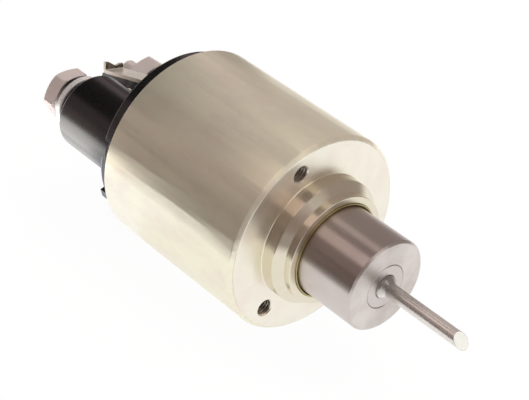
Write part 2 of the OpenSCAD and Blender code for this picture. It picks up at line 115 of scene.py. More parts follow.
def turned(profile: np.ndarray, centre: Pair = (0.0, 0.0), sides: int = 180) -> np.ndarray:
    """Carry a profile's rows of radius and place round an axis parallel to X: (x, y0 + r cos a, z0 + r sin a)."""
    return round_axis(profile[:, :1], profile[:, 1:], circle(sides), centre)


def thread_groove(place: np.ndarray, angle: np.ndarray, pitch: float, depth: float) -> np.ndarray:
    """Depth of a thread's groove: depth times a triangle wave of place / pitch - angle / turn, with flats."""
    phase = (place / pitch - angle / TURN) % 1.0
    return depth * np.clip((1 - THREAD_FLAT - np.abs(2 * phase - 1)) / (1 - 2 * THREAD_FLAT), 0, 1)


def fade(value: np.ndarray, start: float, end: float) -> np.ndarray:
    """A smooth step 3t^2 - 2t^3 from 0 at start to 1 at end."""
    t = np.clip((value - start) / (end - start), 0, 1)
    return t * t * (3 - 2 * t)


def put(name: str, data: bpy.types.ID) -> bpy.types.Object:
    """Put a new object into the scene."""
    made = bpy.data.objects.new(name, data)
    bpy.context.scene.collection.objects.link(made)
    return made


@dataclass
class Patchwork:
    """Grids of points that are sewn into one mesh."""

    name: str
    points: list[np.ndarray] = field(default_factory=list)
    faces: list[np.ndarray] = field(default_factory=list)
    count: int = 0

    def add(self, grid: np.ndarray, closed: bool = True) -> "Patchwork":
        """Add a grid of points with a face between each four neighbours.

        Args:
            grid: points as rows by columns by three.
            closed: whether the last column joins the first.

        Returns:
            This patchwork, so that calls can follow one another.
        """
        rows, cols = grid.shape[:2]
        i = np.arange(rows - 1)[:, None] * cols
        j = np.arange(cols if closed else cols - 1)[None, :]
        k = (j + 1) % cols
        quads = np.stack([i + j, i + k, i + cols + k, i + cols + j], -1)
        self.faces.append(quads.reshape(-1, 4) + self.count)
        self.points.append(grid.reshape(-1, 3))
        self.count += rows * cols
        return self

    def add_tube(self, rings: np.ndarray) -> "Patchwork":
        """Join rings into a tube whose two ends are closed towards their middles.

        Args:
            rings: points as rings by places by three.

        Returns:
            This patchwork.
        """
        self.add(rings)
        for ring in (rings[0], rings[-1]):
            self.add(np.stack([ring, np.broadcast_to(ring.mean(0), ring.shape)]))
        return self

    def mesh(self, unit: float) -> bpy.types.Mesh:
        """A mesh of all grids, for points in a unit of so many metres."""
        mesh = bpy.data.meshes.new(self.name)
        mesh.from_pydata((np.concatenate(self.points) * unit).tolist(), [], np.concatenate(self.faces).tolist())
        return mesh

    def make(
        self, material: bpy.types.Material, body: str, slot: str, stands_for: Iterable[str], bevel: float = 0.0
    ) -> bpy.types.Object:
        """Sew the grids into an object that rides on a body.

        Args:
            material: the finish.
            body: the body that it rides on.
            slot: the record's material slot; not used.
            stands_for: solids that it is shown in place of.
            bevel: width of a live bevel on the sharp edges, 0 for none.

        Returns:
            The new object.
        """
        mesh = self.mesh(MM)
        sewn = bmesh.new()
        sewn.from_mesh(mesh)
        bmesh.ops.remove_doubles(sewn, verts=sewn.verts, dist=WELD)
        bmesh.ops.dissolve_degenerate(sewn, edges=sewn.edges, dist=SPECK)
        bmesh.ops.recalc_face_normals(sewn, faces=sewn.faces)
        sewn.to_mesh(mesh)
        sewn.free()
        mesh.polygons.foreach_set("use_smooth", np.ones(len(mesh.polygons), bool))
        mesh.set_sharp_from_angle(angle=CREASE)
        mesh.materials.append(material)
        made = put(self.name, mesh)
        if bevel:
            edge = made.modifiers.new("edges", "BEVEL")
            edge.width = bevel * MM
            edge.segments = 3
            edge.limit_method = "ANGLE"
            edge.angle_limit = CREASE
            edge.harden_normals = True
        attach(made, body)
        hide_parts(*stands_for)
        log.info("%s: %d faces on %s", self.name, len(mesh.polygons), body)
        return made


class Nodes:
    """A tree of shader nodes and the few sums that the finishes and the stage need."""

    def __init__(self, owner: bpy.types.Material | bpy.types.World) -> None:
        """Open the owner's node tree."""
        owner.use_nodes = True
        self.tree = owner.node_tree

    def feed(self, socket: Socket, value: object) -> None:
        """Link another socket into an input, or set its value.

        Args:
            socket: the input.
            value: the other socket, or a plain value.
        """
        if isinstance(value, Socket):
            self.tree.links.new(value, socket)
        else:
            socket.default_value = value

    def node(self, kind: str, inputs: dict | None = None, **settings: object) -> bpy.types.Node:
        """Add a node.

        Args:
            kind: Blender's name for the node type, without the first word.
            inputs: values or sockets by input name or number.
            settings: the node's own properties.

        Returns:
            The new node.
        """
        made = self.tree.nodes.new(f"ShaderNode{kind}")
        for key, value in settings.items():
            setattr(made, key, value)
        for key, value in (inputs or {}).items():
            self.feed(made.inputs[key], value)
        return made

    def maths(self, operation: str, *values: object) -> Socket:
        """One sum on numbers."""
        return self.node("Math", dict(enumerate(values)), operation=operation).outputs[0]

    def vector(self, operation: str, *values: object) -> Socket:
        """One sum on vectors that gives a vector."""
        return self.node("VectorMath", dict(enumerate(values)), operation=operation).outputs[0]

    def remap(self, value: object, low: float, high: float, out_low: float = 0.0, out_high: float = 1.0) -> Socket:
        """A smooth step from out_low at low to out_high at high."""
        inputs = {0: value, 1: low, 2: high, 3: out_low, 4: out_high}
        return self.node("MapRange", inputs, interpolation_type="SMOOTHSTEP").outputs[0]

    def mix(self, share: object, first: object, second: object) -> Socket:
        """Mix two colours.

        Args:
            share: how much there is of the second, from 0 to 1.
            first: a colour or its socket.
            second: another one.

        Returns:
            The mixed colour.
        """
        made = self.node("Mix", {0: share}, data_type="RGBA")
        for socket, value in ((made.inputs[6], first), (made.inputs[7], second)):
            self.feed(socket, (*value, 1.0) if isinstance(value, tuple) else value)
        return made.outputs[2]

    def split(self, vector: Socket) -> bpy.types.bpy_prop_collection:
        """The three parts of a vector."""
        return self.node("SeparateXYZ", {0: vector}).outputs


class Paint(Nodes):
    """A material's nodes, fed from the surface's own place on the object."""

    def __init__(self, name: str) -> None:
        """Start a material with its shader and its place in metres."""
        self.material = bpy.data.materials.new(name)
        super().__init__(self.material)
        self.shader = self.tree.nodes["Principled BSDF"]
        self.place = self.node("TexCoord").outputs["Object"]
        self.normal = self.node("NewGeometry").outputs["Normal"]

    def set(self, name: str, value: object) -> None:
        """Feed one of the shader's inputs."""
        self.feed(self.shader.inputs[name], value)

    def noise(self, size: float, place: Socket | None = None, detail: float = 3.0, harsh: float = 0.5) -> Socket:
        """Noise from 0 to 1 of a size in mm, with so many finer noises on it, each so strong beside the last."""
        inputs = {"Vector": place or self.place, "Scale": 1 / (size * MM), "Detail": detail, "Roughness": harsh}
        return self.node("TexNoise", inputs).outputs[0]

    def drawn_out(self, share: float) -> Socket:
        """The place with lengths along X shrunk to a share, so that noise is drawn out that way."""
        return self.vector("MULTIPLY", self.place, (share, 1.0, 1.0))

    def along(self, start: float, end: float) -> Socket:
        """A smooth step along X from 0 at start to 1 at end, in mm."""
        return self.remap(self.split(self.place)[0], start * MM, end * MM)

    def bump(self, height: object, depth: float, under: Socket | None = None) -> Socket:
        """Raise the surface.

        Args:
            height: how high it is, from 0 to 1.
            depth: the full height in mm.
            under: another bump that it lies on.

        Returns:
            The surface's new direction.
        """
        inputs = {"Height": height, "Distance": depth * MM, "Strength": 1.0}
        if under is not None:
            inputs["Normal"] = under
        return self.node("Bump", inputs).outputs[0]

    def about(self, centre: Pair) -> tuple[Socket, Socket]:
        """The place measured from an axis parallel to X, and the distance from that axis."""
        shifted = self.vector("SUBTRACT", self.place, (0.0, centre[0] * MM, centre[1] * MM))
        flat = self.vector("MULTIPLY", shifted, (0.0, 1.0, 1.0))
        return shifted, self.node("VectorMath", {0: flat}, operation="LENGTH").outputs[1]


class Lay(Enum):
    """Which way the tool marks run on a metal surface."""

    PLAIN = "none to be seen"
    TURNED = "circles round the axis"
    DRAWN = "lines along the axis"


@dataclass(frozen=True)
class Metal:
    """A metal finish with tool marks, grain, uneven colour and perhaps a second zone. Sizes and depths in mm."""

    name: str
    colour: Colour
    tint: Colour
    rough: float
    lay: Lay = Lay.PLAIN
    centre: Pair = (0.0, 0.0)
    stretch: float = 0.0
    line_pitch: float = 0.16
    line_depth: float = 0.002
    line_share: float = 0.02
    grain: float = 0.35
    grain_depth: float = 0.002
    grain_gloss: float = 0.02
    mottle: float = 9.0
    mottle_share: float = 0.5
    mottle_gloss: float = 0.08
    tint_from: Pair = (0.35, 0.75)
    tint_most: float = 0.55
    metallic: float = 1.0
    zone_colour: Colour | None = None
    zone_rough: float | None = None
    zone_metallic: float | None = None
    zone_from: Pair = (0.9, 0.97)

    def zone(self, paint: Paint) -> Socket:
        """Share of the second zone: where the surface looks forward along the axis."""
        return paint.remap(paint.split(paint.normal)[0], *self.zone_from)

    def zoned(self, paint: Paint, first: float, second: float | None) -> object:
        """A number that is first, or first + share (second - first) if the second zone has its own."""
        return first if second is None else paint.maths("MULTIPLY_ADD", self.zone(paint), second - first, first)

    def base_colour(self, paint: Paint) -> object:
        """The main zone's colour before it is mottled."""
        return self.colour

    def shaped(self, paint: Paint, raised: Socket) -> Socket:
        """The surface's direction after the fine marks."""
        return raised

    def material(self) -> bpy.types.Material:
        """Build the finish.

        Returns:
            A material whose marks follow the axis at the finish's centre.
        """
        paint = Paint(self.name)
        patches = paint.noise(self.mottle, paint.drawn_out(self.mottle_share), 5.0, 0.7)
        colour = self.base_colour(paint)
        if self.zone_colour is not None:
            colour = paint.mix(self.zone(paint), colour, self.zone_colour)
        tinted = paint.remap(patches, *self.tint_from, 0.0, self.tint_most)
        paint.set("Base Color", paint.mix(tinted, colour, self.tint))
        paint.set("Metallic", self.zoned(paint, self.metallic, self.zone_metallic))
        grain = paint.noise(self.grain, detail=1.0)
        least = paint.maths("SUBTRACT", self.zoned(paint, self.rough, self.zone_rough), self.mottle_gloss / 2)
        uneven = paint.maths("MULTIPLY_ADD", patches, self.mottle_gloss, least)
        paint.set("Roughness", paint.maths("MULTIPLY_ADD", grain, self.grain_gloss, uneven))
        raised = paint.bump(grain, self.grain_depth)
        if self.lay is not Lay.PLAIN:
            shifted, radius = paint.about(self.centre)
            ring = paint.vector("CROSS_PRODUCT", (1.0, 0.0, 0.0), shifted)
            if self.lay is Lay.TURNED:
                place = paint.node("CombineXYZ", {0: paint.split(shifted)[0], 1: radius}).outputs[0]
                paint.set("Tangent", paint.vector("CROSS_PRODUCT", paint.normal, ring))
            else:
                place = paint.vector("MULTIPLY", shifted, (self.line_share, 1.0, 1.0))
                paint.set("Tangent", ring)
            paint.set("Anisotropic", self.stretch)
            raised = paint.bump(paint.noise(self.line_pitch, place, detail=2.0), self.line_depth, raised)
        paint.set("Normal", self.shaped(paint, raised))
        return paint.material


@dataclass(frozen=True)
class CasePlating(Metal):
    """The case's plating: bright mounting face, deeper yellow spigot and painted shade inside the holes. Its second
    zone is the barrel.
    """

    spigot_colour: Colour = (0.78, 0.73, 0.57)
    spigot_x: Pair = (0.05, 0.25)
    # painted shade: the dark colour given to surfaces inside the holes
    painted_hole_shade: Colour = (0.20, 0.18, 0.13)
    hole_r: float = 25.0
    hole_shade_x: Pair = (-0.2, -0.6)
    face_r: Pair = (26.5, 26.6)
    wave: float = 4.0
    wave_depth: float = 0.3
    wave_share: float = 0.05

    def zone(self, paint: Paint) -> Socket:
        """Share of the barrel: outside the face's edge."""
        inner, outer = self.face_r
        return paint.remap(paint.about(self.centre)[1], inner * MM, outer * MM)

    def base_colour(self, paint: Paint) -> Socket:
        """Face and spigot each in their own colour, with painted shade inside the holes.

        Args:
            paint: the material's nodes.

        Returns:
            The colour before it is mottled.
        """
        outside = paint.mix(paint.along(*self.spigot_x), self.colour, self.spigot_colour)
        # painted shade: surfaces within 25 mm of the axis and more than about half a millimetre behind the face, the
        # tapped holes above all, are painted dark
        within = paint.maths("LESS_THAN", paint.about(self.centre)[1], self.hole_r * MM)
        hole = paint.maths("MULTIPLY", within, paint.along(*self.hole_shade_x))
        return paint.mix(hole, outside, self.painted_hole_shade)

    def shaped(self, paint: Paint, raised: Socket) -> Socket:
        """The barrel is drawn tube, so that it has shallow waves along the axis."""
        waves = paint.noise(self.wave, paint.drawn_out(self.wave_share), 3.0, 0.4)
        return paint.bump(paint.maths("MULTIPLY", waves, self.zone(paint)), self.wave_depth, raised)


@dataclass(frozen=True)
class RodSteel(Metal):
    """Drawn steel rod with painted shade on its top side near its collar. Its second zone is the cut at its tip."""

    # painted shade: a dark colour on the rod's top side near its collar, fading along the rod and towards its
    # underside
    painted_shade: Colour = (0.30, 0.29, 0.275)
    painted_shade_x: Pair = (42.0, 27.0)
    painted_shade_from: Pair = (-0.5, 0.1)

    def base_colour(self, paint: Paint) -> Socket:
        """Painted shade on the top side near the collar; plain steel further out and below."""
        # painted shade: strongest on upward faces close to the collar
        above = paint.remap(paint.split(paint.normal)[2], *self.painted_shade_from)
        return paint.mix(paint.maths("MULTIPLY", paint.along(*self.painted_shade_x), above), self.colour, self.painted_shade)


@dataclass(frozen=True)
class Moulding:
    """A moulded plastic, rubber or fibre with fine texture and flow marks. Sizes in mm."""

    name: str
    colour: Colour
    fleck: Colour
    rough: float
    index: float = 1.5
    grain: float = 0.25
    grain_depth: float = 0.004
    grain_gloss: float = 0.08
    flow: float = 6.0
    flow_share: float = 0.35
    flow_depth: float = 0.02
    flow_gloss: float = 0.14
    fleck_from: Pair = (0.45, 0.8)
    fleck_most: float = 0.5

    def material(self) -> bpy.types.Material:
        """Build the finish.

        Returns:
            A material with a speckled colour and an uneven gloss.
        """
        paint = Paint(self.name)
        grain = paint.noise(self.grain, detail=4.0)
        flow = paint.noise(self.flow, paint.drawn_out(self.flow_share), detail=2.0)
        share = paint.remap(grain, *self.fleck_from, 0.0, self.fleck_most)
        paint.set("Base Color", paint.mix(share, self.colour, self.fleck))
        least = self.rough - (self.flow_gloss + self.grain_gloss) / 2
        uneven = paint.maths("MULTIPLY_ADD", flow, self.flow_gloss, least)
        paint.set("Roughness", paint.maths("MULTIPLY_ADD", grain, self.grain_gloss, uneven))
        paint.set("IOR", self.index)
        paint.set("Normal", paint.bump(flow, self.flow_depth, paint.bump(grain, self.grain_depth)))
        return paint.material


@dataclass(frozen=True)
class WoundWire:
    """Enamelled wire laid in rows: lines at the wire's pitch along the axis, with painted shade in the gap colour
    where the rows meet.
    """

    name: str
    colour: Colour
    # gap: the painted shade colour in the creases between rows
    gap: Colour
    pitch: float
    metallic: float = 0.8
    row_depth: float = 0.4
    shade: Pair = (0.7, 1.0)
    rough: Pair = (0.25, 0.4)
    patch: float = 3.0
    fleck: float = 0.8
    noise_from: Pair = (0.2, 0.8)

    def material(self) -> bpy.types.Material:
        """Build the finish.

        Returns:
            A coppery material whose rows are raised.
        """
        paint = Paint(self.name)
        phase = paint.maths("MULTIPLY", paint.split(paint.place)[0], math.pi / (self.pitch * MM))
        wave = paint.maths("ABSOLUTE", paint.maths("SINE", phase))
        shade = paint.maths("MULTIPLY", wave, paint.remap(paint.noise(self.patch), *self.noise_from, *self.shade))
        # painted shade: the colour falls to the gap colour where neighbouring rows meet
        paint.set("Base Color", paint.mix(shade, self.gap, self.colour))
        paint.set("Metallic", self.metallic)
        paint.set("Roughness", paint.remap(paint.noise(self.fleck), *self.noise_from, *self.rough))
        paint.set("Normal", paint.bump(wave, self.pitch * self.row_depth))
        return paint.material


def plated_steel(name: str, centre: Pair = (0.0, 0.0)) -> Metal:
    """The warm grey plating of the terminals' steel, marked round one stud."""
    marks = {"mottle": 4.0, "grain": 0.22, "metallic": 0.5}
    return Metal(name, (0.69, 0.60, 0.575), (0.73, 0.66, 0.62), 0.36, Lay.TURNED, centre, 0.3, **marks)


PLATING = CasePlating(
    "case_plating", (0.93, 0.89, 0.77), (0.88, 0.76, 0.68), 0.24, Lay.TURNED, stretch=0.85, line_pitch=0.10,
    line_depth=0.0003, grain=0.6, grain_depth=0.0005, metallic=0.97,
    zone_colour=(0.99, 0.96, 0.76), zone_rough=0.31, zone_metallic=0.80,
)
PLUNGER_STEEL = Metal(
    "plunger_steel", (0.66, 0.60, 0.56), (0.60, 0.52, 0.52), 0.31, Lay.TURNED, stretch=0.85, line_pitch=0.12,
    line_depth=0.0002, grain=0.6, grain_depth=0.0002, mottle=6.0, zone_colour=(0.77, 0.72, 0.68), zone_rough=0.42,
)
BRASS = Metal("tube_brass", (0.54, 0.46, 0.24), (0.40, 0.33, 0.18), 0.34, Lay.TURNED, stretch=0.4, mottle=4.0)
ROD_STEEL = RodSteel(
    "rod_steel", (0.80, 0.76, 0.725), (0.84, 0.80, 0.76), 0.22, Lay.DRAWN, grain_depth=0.0002, line_depth=0.0002,
    mottle=5.0, metallic=0.8, zone_colour=(0.72, 0.74, 0.69), zone_from=(0.72, 0.76),
)
BUSH_STEEL = Metal("bush_steel", (0.66, 0.61, 0.585), (0.60, 0.55, 0.535), 0.38, Lay.TURNED, stretch=0.3, mottle=4.0)
# The tin's second zone is painted shade: faces that look forward along the axis, chiefly the lip's inner face, are
# painted nearly black.
TIN = Metal(
    "blade_tin", (0.82, 0.76, 0.66), (0.66, 0.60, 0.50), 0.32, mottle=3.0, grain=0.3, metallic=0.75,
    zone_colour=(0.03, 0.024, 0.018), zone_from=(0.6, 0.9),
)
ZINC = Metal(
    "washer_zinc", (0.93, 0.92, 0.90), (0.86, 0.84, 0.82), 0.30, mottle=3.0, grain=0.2, grain_depth=0.001, metallic=0.6
)
SPRING_STEEL = Metal("spring_steel", (0.42, 0.41, 0.40), (0.30, 0.27, 0.25), 0.34, mottle=3.0)
CORE_IRON = Metal("core_iron", (0.46, 0.44, 0.42), (0.36, 0.33, 0.30), 0.40, Lay.TURNED, stretch=0.4, mottle=7.0)
COPPER = Metal("contact_copper", (0.86, 0.47, 0.32), (0.66, 0.34, 0.24), 0.30, mottle=5.0)
CAP_PLASTIC = Moulding("cap_plastic", (0.004, 0.0035, 0.0035), (0.009, 0.008, 0.008), 0.27, 2.0, grain_depth=0.002)
BOBBIN_PLASTIC = Moulding("bobbin_plastic", (0.72, 0.66, 0.52), (0.60, 0.54, 0.42), 0.45)
RUBBER = Moulding("seal_rubber", (0.02, 0.02, 0.02), (0.05, 0.05, 0.05), 0.65, grain=0.15)
FIBRE = Moulding("insulator", (0.26, 0.10, 0.06), (0.38, 0.18, 0.10), 0.55, grain=0.18)
WIRE = WoundWire("winding_copper", (0.62, 0.27, 0.12), (0.16, 0.06, 0.03), 0.9)


@dataclass
class CaseShell:
    """The plated case: barrel, mounting face with tapped holes, and stepped spigot. It rides on the housing."""

    barrel_r: float = 27.5
    barrel_x: float = -50.8
    bore_r: float = 25.5
    lip_r: float = 25.1
    lip_x: float = -50.0
    wall_x: float = -10.0
    face_chamfer: float = 1.0
    land_r: float = 17.4
    land_x: float = 3.7
    nose_r: float = 15.2
    nose_x: float = 7.8
    cone_x: float = 5.7
    tube_r: float = 13.3
    fillet: float = 0.3
    edge: float = 0.2
    hole_circle: float = 22.0
    hole_r: float = 2.1
    hole_chamfer: float = 0.4
    hole_depth: float = 8.0
    drill_point: float = 1.2
    thread_pitch: float = 0.8
    thread_depth: float = 0.36
    thread_full: float = 0.8
    thread_end: float = 0.6
    thread_rows: int = 110
    holes: int = 3
    steps: int = 6
    sides: int = 180
    hole_span: int = 12
    face_rows: int = 9
    mouth_rows: int = 5
    front_corners: int = 6

    def profile(self) -> np.ndarray:
        """The turned outline from the bore round the front to the rolled rear lip and back.

        Returns:
            Rows of radius and place.
        """
        start, e = (self.tube_r, self.wall_x, 0.0), self.edge
        return soft_profile(
            start,
            (self.tube_r, self.nose_x, e),
            (self.nose_r, self.nose_x, self.fillet),
            (self.nose_r, self.cone_x, 0.1),
            (self.land_r, self.land_x, e),
            (self.land_r, 0.0, self.fillet),
            (self.barrel_r - self.face_chamfer, 0.0, e),
            (self.barrel_r, -self.face_chamfer, e),
            (self.barrel_r, self.barrel_x, 0.35),
            (self.lip_r, self.barrel_x, e),
            (self.lip_r, self.lip_x, 0.0),
            (self.bore_r, self.lip_x, 0.0),
            (self.bore_r, self.wall_x, 0.0),
            start,
            steps=self.steps,
        )

    def hole_patch(self, middle: float, inner: float, outer: float) -> np.ndarray:
        """The face round one hole and the hole itself.

        Rows run from the patch's border, border(k), straight in to the hole's mouth,
        centre + R (border(k) - centre) / |border(k) - centre|, then down the chamfer, along the thread
        r + groove(x, a) and over the drill's point to the middle.

        Args:
            middle: angle of the hole about the axis.
            inner: inner radius of the face.
            outer: outer radius of the face.

        Returns:
            A grid closed round the hole.
        """
        span = np.arange(-self.hole_span, self.hole_span + 1) * TURN / self.sides
        radial = np.linspace(outer, inner, self.face_rows)
        edge, side = np.ones(len(span)), np.ones(self.face_rows - 2)
        radius = np.concatenate([edge * outer, radial[1:-1], edge * inner, radial[-2:0:-1]])
        angle = middle + np.concatenate([span, side * span[-1], span[::-1], side * span[0]])
        y0, z0 = self.hole_circle * math.cos(middle), self.hole_circle * math.sin(middle)
        y, z = radius * np.cos(angle) - y0, radius * np.sin(angle) - z0
        reach, around = np.hypot(y, z), np.arctan2(z, y)
        share = np.linspace(0, 1, self.mouth_rows)[:, None]
        mouth = reach * (1 - share) + (self.hole_r + self.hole_chamfer) * share
        deep = np.linspace(-self.hole_chamfer, -self.hole_depth, self.thread_rows)[:, None]
        groove = thread_groove(deep, around, self.thread_pitch, self.thread_depth)
        groove = groove * fade(-deep, self.hole_chamfer, self.thread_full)
        groove = groove * fade(deep, -self.hole_depth, self.thread_end - self.hole_depth)
        radii = np.concatenate([mouth, self.hole_r + groove, np.zeros((1, len(reach)))])
        places = np.concatenate([np.zeros((self.mouth_rows, 1)), deep, [[-self.hole_depth - self.drill_point]]])
        return spread(places, y0 + radii * y / reach, z0 + radii * z / reach)

    def build(self) -> None:
        """Sew the turned outline, the face between the holes and the holes together."""
        outline = self.profile()
        cut = self.front_corners * self.steps
        front, rear = outline[:cut], outline[cut:]
        inner, outer = front[-1, 0], rear[0, 0]
        sheet = Patchwork("case_shell").add(turned(front, sides=self.sides)).add(turned(rear, sides=self.sides))
        sector = self.sides // self.holes
        plain = np.arange(self.hole_span, sector - self.hole_span + 1) * (TURN / self.sides)
        radial = np.linspace(inner, outer, self.face_rows)[:, None]
        for middle in np.arange(self.holes) * TURN / self.holes:
            sheet.add(self.hole_patch(middle, inner, outer))
            sheet.add(round_axis(radial, 0.0, middle + plain), closed=False)
        sheet.make(PLATING.material(), "housing", "case_plating", ["case"])


@dataclass
class GuideTube:
    """The brass tube that the plunger slides in. It rides on the housing."""

    inner_r: float = 12.55
    outer_r: float = 13.25
    front_x: float = 8.1
    rear_x: float = -43.5
    mouth: float = 0.9
    lip: float = 0.3
    edge: float = 0.1

    def build(self) -> None:
        """A turned ring whose mouth is opened to a thin lip."""
        ring = soft_profile(
            (self.inner_r, self.rear_x, 0.0),
            (self.inner_r, self.front_x - self.mouth, 0.2),
            (self.outer_r - self.lip, self.front_x, self.edge),
            (self.outer_r, self.front_x, self.edge),
            (self.outer_r, self.rear_x, 0.0),
            loop=True,
        )
        sheet = Patchwork("guide_sleeve").add(turned(ring))
        sheet.make(BRASS.material(), "housing", "tube_brass", ["guide_tube"])


@dataclass
class PlungerParts:
    """The plunger with the bush in its face. Both ride on the plunger's body."""

    plunger_r: float = 12.5
    face_x: float = 25.5
    rear_x: float = -24.7
    well_r: float = 8.8
    well_x: float = -12.7
    bore_x: float = -8.0
    bush_r: float = 6.0
    bush_gap: float = 0.05
    bush_rear_x: float = 19.0
    collar_r: float = 3.15
    chamfer: float = 0.6
    seam: float = 0.17
    seam_edge: float = 0.08
    seam_foot: float = 0.05
    rear_chamfer: float = 1.0
    edge: float = 0.12

    def build(self) -> None:
        """Turn the plunger and the bush; the seam between them is a small open groove."""
        seam_x, bush_out = self.face_x - self.seam, self.bush_r - self.bush_gap
        foot = (self.bush_r, seam_x, self.seam_foot)
        body = soft_profile(
            foot,
            (self.bush_r + self.seam, self.face_x, self.seam_edge),
            (self.plunger_r - self.chamfer, self.face_x, self.edge),
            (self.plunger_r, self.face_x - self.chamfer, self.edge),
            (self.plunger_r, self.rear_x + self.rear_chamfer, self.edge),
            (self.plunger_r - self.rear_chamfer, self.rear_x, self.edge),
            (self.well_r, self.rear_x, self.edge),
            (self.well_r, self.well_x, 0.0),
            (0.0, self.well_x, 0.0),
            (0.0, self.bore_x, 0.0),
            (self.bush_r, self.bore_x, 0.0),
            foot,
        )
        bush = soft_profile(
            (self.collar_r, seam_x, self.seam_foot),
            (self.collar_r + self.seam, self.face_x, self.seam_edge),
            (bush_out - self.seam, self.face_x, self.seam_edge),
            (bush_out, seam_x, self.seam_foot),
            (bush_out, self.bush_rear_x, 0.0),
            (self.collar_r, self.bush_rear_x, 0.0),
            loop=True,
        )
        for name, profile, finish, node in (
            ("plunger_body", body, PLUNGER_STEEL, "plunger"),
            ("face_bush", bush, BUSH_STEEL, "plunger_bush"),
        ):
            Patchwork(name).add(turned(profile)).make(finish.material(), "plunger", finish.name, [node])


@dataclass
class PullRod:
    """The pull rod with its collar and slanted tip. It rides on its own body."""

    rod_r: float = 1.9
    tail_r: float = 2.2
    collar_r: float = 3.1
    cone_x: float = 26.0
    collar_x: float = 27.2
    head_front_x: float = -5.9
    head_rear_x: float = -7.9
    tip_x: float = 50.5
    tip_angle: float = 39.0
    tip_turn: float = 26.0
    tip_rows: int = 6
    fillet: float = 0.3
    edge: float = 0.1
    sides: int = 180

    def build(self) -> None:
        """Turn the collar and its cone, and carry the rod to its tip.

        The tip is the plane x = tip + tan(slant) (y sin(turn) - z cos(turn)), so a row of the tip at radius r is
        x(a) = tip + tan(slant) r sin(turn - a), less a little at the rounded rim.
        """
        root = soft_profile(
            (0.0, self.head_rear_x, 0.0),
            (self.tail_r, self.head_rear_x, self.edge),
            (self.tail_r, self.head_front_x, 0.0),
            (self.collar_r, self.head_front_x, 0.0),
            (self.collar_r, self.cone_x, self.fillet),
            (self.rod_r, self.collar_x, self.fillet),
            (self.rod_r, self.collar_x + 1.0, 0.0),
        )
        angle = circle(self.sides)
        bend = np.linspace(0, np.pi / 2, self.tip_rows)[:, None]
        flat = np.linspace(self.rod_r - self.edge, 0, self.tip_rows)[1:, None]
        radius = np.concatenate([self.rod_r - self.edge * (1 - np.cos(bend)), flat])
        drop = np.concatenate([self.edge * (1 - np.sin(bend)), 0 * flat])
        slant = math.tan(math.radians(self.tip_angle)) * np.sin(math.radians(self.tip_turn) - angle)
        tip = round_axis(radius, self.tip_x - drop + radius * slant, angle)
        sheet = Patchwork("pull_rod_body").add(np.concatenate([turned(root, sides=self.sides), tip]))
        sheet.make(ROD_STEEL.material(), "pull_rod", "rod_steel", ["pull_rod"])


